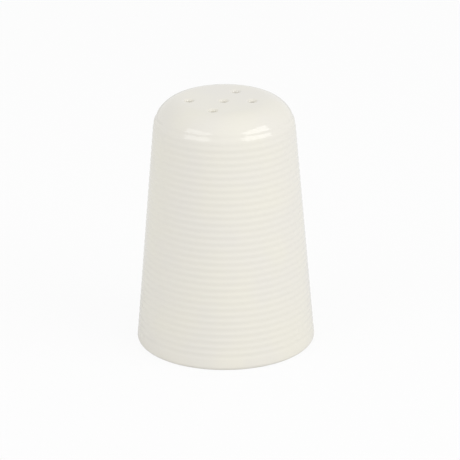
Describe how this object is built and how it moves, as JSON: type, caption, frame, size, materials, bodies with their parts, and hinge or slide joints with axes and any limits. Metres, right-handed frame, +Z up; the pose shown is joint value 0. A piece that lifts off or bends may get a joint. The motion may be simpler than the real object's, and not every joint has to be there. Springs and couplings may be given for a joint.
{
  "type": "pepper shaker",
  "caption": "Glazed ceramic pepper shaker: tapered wall with fine turned rings, round shoulder, flat pierced crown, and a soft pull-out stopper that closes the filling hole in its base.",
  "frame": {"origin": "middle of the foot, on the surface that the shaker stands on", "axes": "+Z up along the shaker's axis; the pictured side faces -Y, with +X to its right"},
  "size_m": [0.0564, 0.0564, 0.08],
  "materials": {
    "glazed_body": "gloss ivory glaze",
    "stopper": "soft satin, off-white"
  },
  "bodies": {
    "shaker": {"shaker_body": "glazed_body"},
    "stopper": {"base_stopper": "stopper"}
  },
  "joints": [
    {"name": "stopper_pull", "type": "slide", "parent": "shaker", "child": "stopper", "axis": [0, 0, -1], "range_m": [0, 0.03]}
  ]
}
